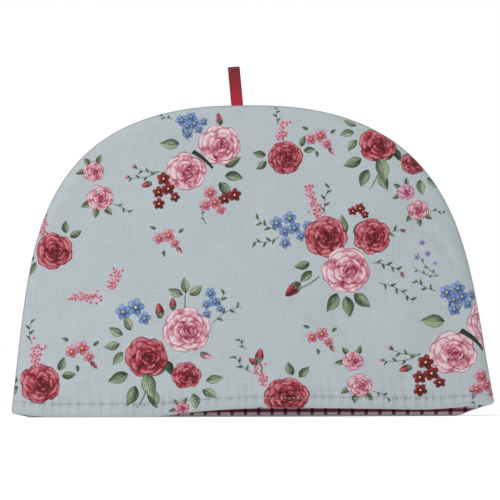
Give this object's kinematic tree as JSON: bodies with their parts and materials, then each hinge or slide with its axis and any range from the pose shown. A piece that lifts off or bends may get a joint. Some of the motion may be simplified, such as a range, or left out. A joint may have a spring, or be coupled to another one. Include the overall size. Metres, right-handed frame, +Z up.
{
  "type": "tea cosy",
  "caption": "Padded dome-shaped tea cosy, two printed cotton panels with a checked lining and a ribbon hanging loop, standing on its hem.",
  "frame": {"origin": "on the table under the middle of the cosy: bottom centre of its box", "axes": "+X across the dome to the right as seen from the front, +Y from front to back, +Z up; the dome's seam lies in the plane Y = 0"},
  "size_m": [0.3619, 0.0764, 0.2651],
  "materials": {
    "printed_cotton": "matte printed cotton",
    "checked_cotton": "matte woven cotton check",
    "red_ribbon": "soft sheen, ribbed"
  },
  "bodies": {
    "root": {"outer_front": "printed_cotton", "outer_back": "printed_cotton", "lining_front": "checked_cotton", "lining_back": "checked_cotton", "ribbon_loop": "red_ribbon"}
  },
  "joints": []
}
